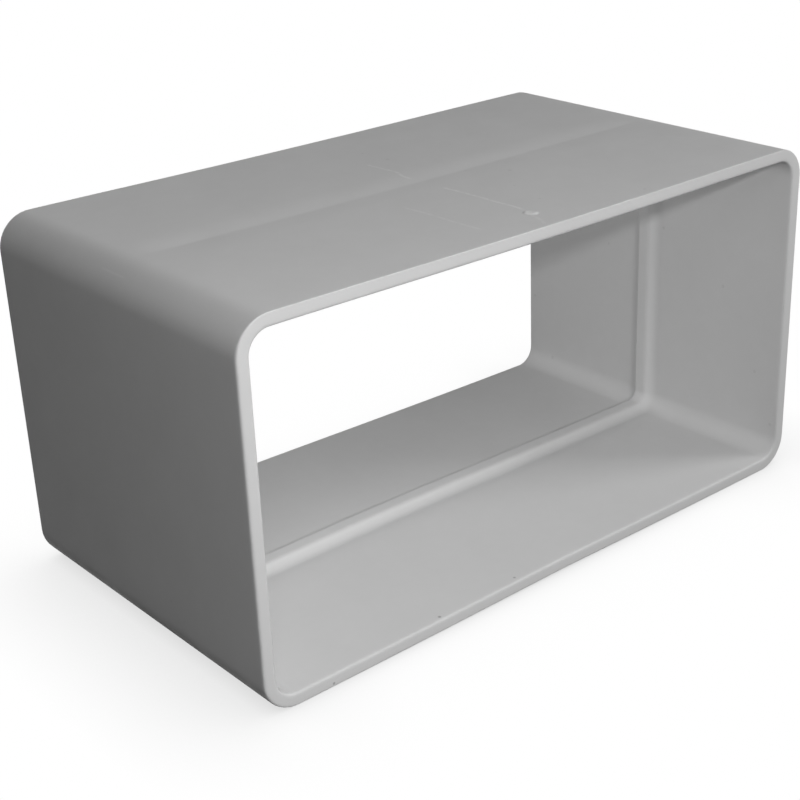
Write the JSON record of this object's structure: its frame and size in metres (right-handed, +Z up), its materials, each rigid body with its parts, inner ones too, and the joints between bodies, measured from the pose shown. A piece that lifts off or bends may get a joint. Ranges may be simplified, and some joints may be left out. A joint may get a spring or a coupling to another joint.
{
  "type": "flat-channel duct connector",
  "caption": "Rectangular sleeve with rounded corners and an inner stop rib, which joins two flat ventilation ducts end to end.",
  "frame": {"origin": "under the middle of the sleeve, on the level that it rests on", "axes": "+X across the duct, +Y along the air path (the end with the gate mark faces -Y), +Z up"},
  "size_m": [0.1148, 0.0628, 0.0591],
  "materials": {
    "plastic": "smooth satin moulded plastic, light neutral grey"
  },
  "bodies": {
    "root": {"connector_body": "plastic"}
  },
  "joints": []
}
